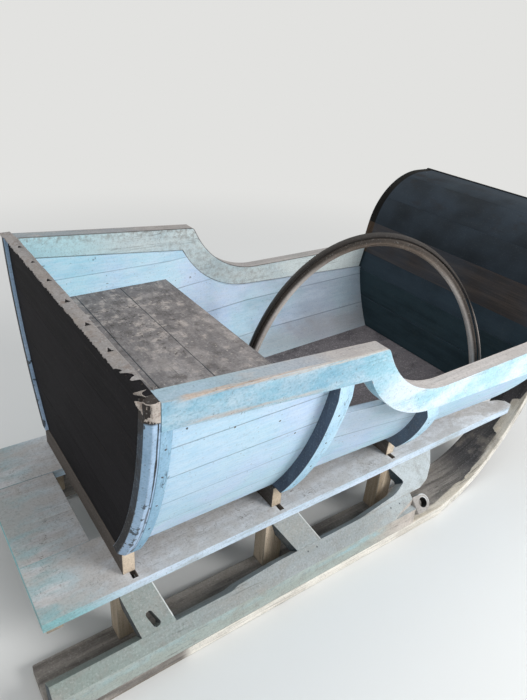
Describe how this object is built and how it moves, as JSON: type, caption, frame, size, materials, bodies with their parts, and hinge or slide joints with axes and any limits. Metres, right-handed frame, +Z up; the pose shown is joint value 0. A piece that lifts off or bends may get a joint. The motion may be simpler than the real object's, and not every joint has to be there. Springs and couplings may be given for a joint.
{
  "type": "horse drawn sleigh",
  "caption": "Old wooden horse drawn sleigh with boat-shaped plank sides, sweeping top rails, curved dash, slatted seat and splayed side frames on flat bent runners.",
  "frame": {"origin": "bottom centre of the sleigh's box, on the ground, midway along its length", "axes": "+X forward to the dash and the horse, +Y to the left, +Z up"},
  "size_m": [2.062, 1, 0.958],
  "materials": {
    "blue_paint": "worn pale blue oil paint",
    "worn_wood": "dusty grey brown boards",
    "bare_wood": "bare sawn wood",
    "tin": "dull grey sheet",
    "iron": "worn painted iron"
  },
  "bodies": {
    "root": {"back_boards": "blue_paint", "back_cap": "tin", "back_post_left": "blue_paint", "back_post_right": "blue_paint", "beam_dash": "bare_wood", "beam_front": "bare_wood", "beam_mid": "bare_wood", "beam_rear": "bare_wood", "brace_mid_left": "blue_paint", "brace_mid_right": "blue_paint", "brace_rear_left": "blue_paint", "brace_rear_right": "blue_paint", "crook_left": "blue_paint", "crook_right": "blue_paint", "dash_boards_lower": "blue_paint", "dash_boards_upper": "blue_paint", "dash_rib_left": "blue_paint", "dash_rib_right": "blue_paint", "dash_strip": "worn_wood", "floor_boards": "worn_wood", "hood_bow": "worn_wood", "lower_rail_left": "blue_paint", "lower_rail_right": "blue_paint", "posts_left": "bare_wood", "posts_right": "bare_wood", "rail_left": "blue_paint", "rail_right": "blue_paint", "rib_front_left": "blue_paint", "rib_front_right": "blue_paint", "rib_mid_left": "blue_paint", "rib_mid_right": "blue_paint", "runner_left": "worn_wood", "runner_right": "worn_wood", "seat_boards": "worn_wood", "seat_ledger_left": "worn_wood", "seat_ledger_right": "worn_wood", "shaft_eye_left": "iron", "shaft_eye_right": "iron", "side_board_left": "blue_paint", "side_board_right": "blue_paint", "step_bearer": "worn_wood", "step_board": "worn_wood", "stile_rear_left": "blue_paint", "stile_rear_right": "blue_paint", "strakes_left": "blue_paint", "strakes_right": "blue_paint", "tip_bar": "bare_wood"}
  },
  "joints": []
}
